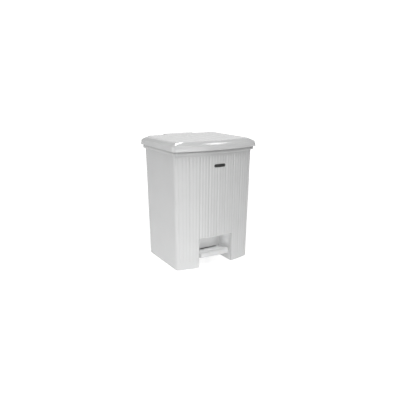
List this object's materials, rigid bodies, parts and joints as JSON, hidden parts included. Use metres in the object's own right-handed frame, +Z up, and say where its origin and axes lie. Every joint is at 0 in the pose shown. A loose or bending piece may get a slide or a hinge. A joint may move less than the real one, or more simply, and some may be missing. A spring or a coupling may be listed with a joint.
{
  "type": "pedal trash can",
  "caption": "Free-standing rectangular pedal trash can with a bowed reeded front, hinged lid, lift-out inner bucket and a foot pedal in a front recess.",
  "frame": {"origin": "on the floor, below the centre of the object's bounding box", "axes": "+Z up, -Y towards the front where the pedal is, +X to the right when seen from the front"},
  "size_m": [0.2836, 0.272, 0.38],
  "materials": {
    "shell_plastic": "semi-gloss moulded polypropylene",
    "lid_plastic": "semi-gloss moulded polypropylene",
    "tread_plastic": "semi-gloss moulded polypropylene",
    "inner_plastic": "matt moulded plastic",
    "bucket_plastic": "satin moulded polypropylene",
    "grip_plastic": "satin moulded plastic",
    "foot_rubber": "matt rubber",
    "lever_steel": "zinc-plated pressed sheet",
    "rod_steel": "bright drawn wire",
    "screw_steel": "zinc plated"
  },
  "bodies": {
    "shell": {"outer_shell": "shell_plastic", "base_plate": "inner_plastic", "rear_column": "shell_plastic", "rod_guide_lower": "inner_plastic", "rod_guide_upper": "inner_plastic", "foot_front_left": "foot_rubber", "foot_front_right": "foot_rubber", "foot_rear_left": "foot_rubber", "foot_rear_right": "foot_rubber", "base_screw_front_left": "screw_steel", "base_screw_front_right": "screw_steel", "base_screw_rear_left": "screw_steel", "base_screw_rear_right": "screw_steel", "column_screw_lower_left": "screw_steel", "column_screw_lower_right": "screw_steel", "column_screw_upper_left": "screw_steel", "column_screw_upper_right": "screw_steel", "pedal_axle": "rod_steel", "axle_cap_left": "inner_plastic", "axle_cap_right": "inner_plastic"},
    "pedal": {"pedal_tread": "tread_plastic", "pedal_lever": "lever_steel"},
    "rod": {"push_rod": "rod_steel", "rod_pin_lower": "rod_steel", "rod_pin_upper": "rod_steel"},
    "lid": {"lid": "lid_plastic", "hinge_pin_left": "rod_steel", "hinge_pin_right": "rod_steel", "lid_bumper_left": "foot_rubber", "lid_bumper_right": "foot_rubber"},
    "bucket": {"inner_bucket": "bucket_plastic"},
    "bail": {"bucket_bail": "rod_steel", "bail_grip": "grip_plastic"}
  },
  "joints": [
    {"name": "lid_hinge", "type": "hinge", "parent": "shell", "child": "lid", "pos_m": [0, 0.124, 0.368], "axis": [-1, 0, 0], "range_deg": [0, 75]},
    {"name": "pedal_pivot", "type": "hinge", "parent": "shell", "child": "pedal", "pos_m": [0, -0.00895, 0.032], "axis": [1, 0, 0], "range_deg": [0, 15]},
    {"name": "rod_slide", "type": "slide", "parent": "shell", "child": "rod", "axis": [0, 0, 1], "range_m": [0, 0.02925]},
    {"name": "bucket_lift", "type": "slide", "parent": "shell", "child": "bucket", "axis": [0, 0, 1], "range_m": [0, 0.006]},
    {"name": "bail_swing", "type": "hinge", "parent": "bucket", "child": "bail", "pos_m": [0, -0.004, 0.345], "axis": [-1, 0, 0], "range_deg": [0, 9]}
  ],
  "couplings": [
    {"joint": "pedal_pivot", "follows": "lid_hinge", "ratio": 0.2},
    {"joint": "rod_slide", "follows": "lid_hinge", "m_per_rad": 0.022323}
  ]
}
